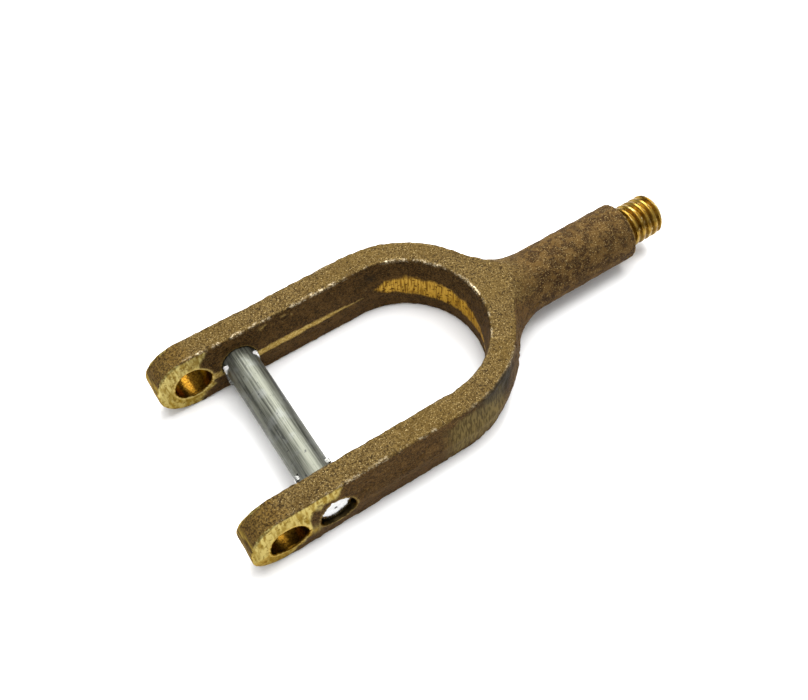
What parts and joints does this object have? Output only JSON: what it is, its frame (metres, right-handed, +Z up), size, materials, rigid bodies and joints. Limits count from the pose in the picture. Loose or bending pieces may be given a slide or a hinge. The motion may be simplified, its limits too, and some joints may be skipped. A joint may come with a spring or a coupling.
{
  "type": "fork end",
  "caption": "Cast bronze fork end with a threaded shank, open cross holes at the tips and a loose steel cross rod kept in by U clips.",
  "frame": {"origin": "on the surface the fork lies on, under the middle of its bounding box", "axes": "+X from the fork's tips to the threaded end, +Y across the fork, +Z up out of the flat side"},
  "size_m": [0.0946, 0.0398, 0.0129],
  "materials": {
    "cast_bronze": "rough sand casting with filed and machined areas",
    "turned_steel": "turned and polished",
    "clip_steel": "bright plated"
  },
  "bodies": {
    "fork": {"fork_casting": "cast_bronze"},
    "rod": {"cross_rod": "turned_steel", "far_clip": "clip_steel", "near_clip": "clip_steel"}
  },
  "joints": [
    {"name": "rod_spin", "type": "hinge", "parent": "fork", "child": "rod", "pos_m": [-0.03227, 0, 0.00645], "axis": [0, 1, 0], "continuous": true}
  ]
}
